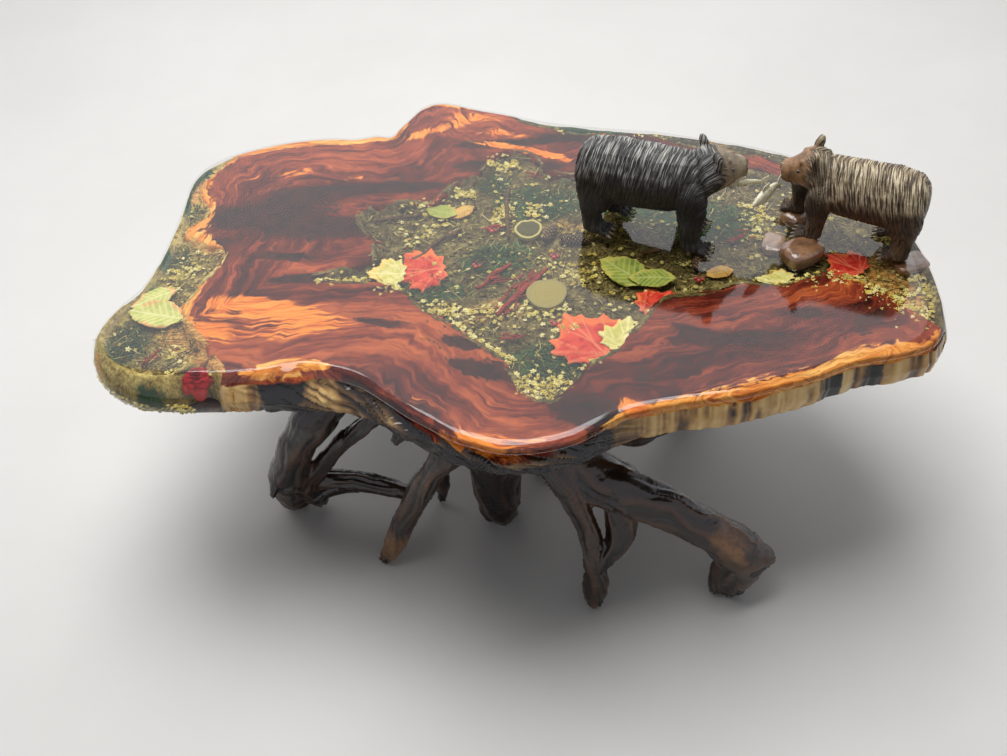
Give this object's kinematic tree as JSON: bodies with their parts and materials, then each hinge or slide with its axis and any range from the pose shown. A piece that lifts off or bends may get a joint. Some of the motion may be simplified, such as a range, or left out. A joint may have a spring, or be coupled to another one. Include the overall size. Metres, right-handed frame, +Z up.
{
  "type": "coffee table",
  "caption": "Live-edge burl slab coffee table with leaves and flowers cast in clear resin, carved bears with fish on the top and a base of dark lacquered roots.",
  "frame": {"origin": "on the floor under the middle of the slab's bounding box", "axes": "+X along the slab's length towards the bears, +Y away from the viewer of the picture, +Z up"},
  "size_m": [1.2005, 0.8039, 0.6182],
  "materials": {
    "burl_wood": "glossy under a clear coat",
    "clear_resin": "clear, glossy",
    "red_leaf": "dried leaf",
    "yellow_leaf": "dried leaf",
    "green_leaf": "dried leaf",
    "orange_leaf": "dried leaf",
    "flower": "dried flower",
    "rose": "dried flower",
    "berry": "waxy",
    "moss": "dried moss",
    "twig": "bark",
    "red_stick": "bark",
    "cone": "dry scales",
    "pale_slice": "sawn end grain",
    "dark_slice": "sawn end grain",
    "stone": "wet look",
    "root_lacquer": "dark gloss lacquer",
    "dowel": "plain",
    "steel": "plain",
    "dark_bear": "stained black, dry brushed",
    "tan_bear": "stained tan and black",
    "eye": "glossy",
    "fish": "painted cream"
  },
  "bodies": {
    "root": {"burl_slab": "burl_wood", "clear_top_coat": "clear_resin", "pool_lower_pour": "clear_resin", "pool_upper_pour": "clear_resin", "left_bay_lower_pour": "clear_resin", "left_bay_upper_pour": "clear_resin", "back_bay_lower_pour": "clear_resin", "back_bay_upper_pour": "clear_resin", "river_stones": "stone", "red_maple_leaves": "red_leaf", "yellow_maple_leaves": "yellow_leaf", "green_leaves": "green_leaf", "orange_leaves": "orange_leaf", "bay_leaves": "yellow_leaf", "wood_slice": "pale_slice", "dark_wood_slice": "dark_slice", "pine_cones": "cone", "red_rose": "rose", "red_sticks": "red_stick", "twigs": "twig", "berries": "berry", "yellow_flowers": "flower", "bay_yellow_flowers": "flower", "moss": "moss", "bay_moss": "moss", "back_moss": "moss", "root_crown": "root_lacquer", "right_root": "root_lacquer", "front_root": "root_lacquer", "front_root_brace": "root_lacquer", "spear_root": "root_lacquer", "left_root": "root_lacquer", "left_strut": "root_lacquer", "left_cross_root": "root_lacquer", "hanging_stub": "root_lacquer", "thin_root": "root_lacquer", "centre_back_root": "root_lacquer", "back_right_root": "root_lacquer", "back_left_root": "root_lacquer", "back_root": "root_lacquer", "root_dowels": "dowel", "mounting_plate": "steel", "slab_lag_screws": "steel", "crown_screws": "steel", "left_bear": "dark_bear", "left_bear_eyes": "eye", "left_bear_fish": "fish", "right_bear": "tan_bear", "right_bear_eyes": "eye", "right_bear_fish": "fish", "bear_foot_pins": "dowel"}
  },
  "joints": []
}
